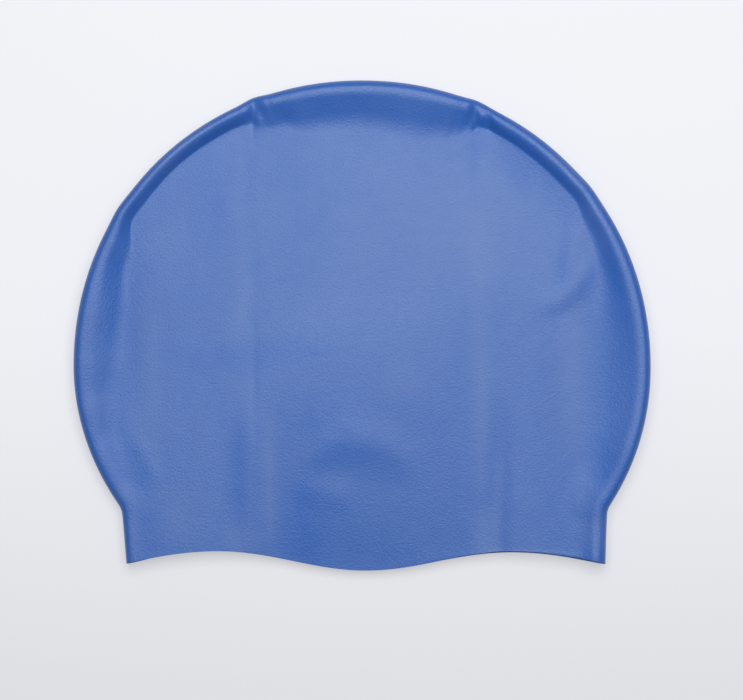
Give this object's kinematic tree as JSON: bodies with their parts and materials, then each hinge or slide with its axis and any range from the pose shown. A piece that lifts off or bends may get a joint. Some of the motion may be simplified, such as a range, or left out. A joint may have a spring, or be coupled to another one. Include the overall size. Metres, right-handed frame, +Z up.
{
  "type": "swim cap",
  "caption": "Soft moulded swimming cap lying flat, with a raised fold edge, a waved open mouth and packing creases.",
  "frame": {"origin": "on the table under the middle of the cap's box, as the cap lies flat", "axes": "+X across the cap, +Y from the mouth to the crown, +Z up through both sheets"},
  "size_m": [0.2248, 0.191, 0.012],
  "materials": {
    "silicone": "satin, with a fine moulded grain"
  },
  "bodies": {
    "root": {"cap_shell": "silicone"}
  },
  "joints": []
}
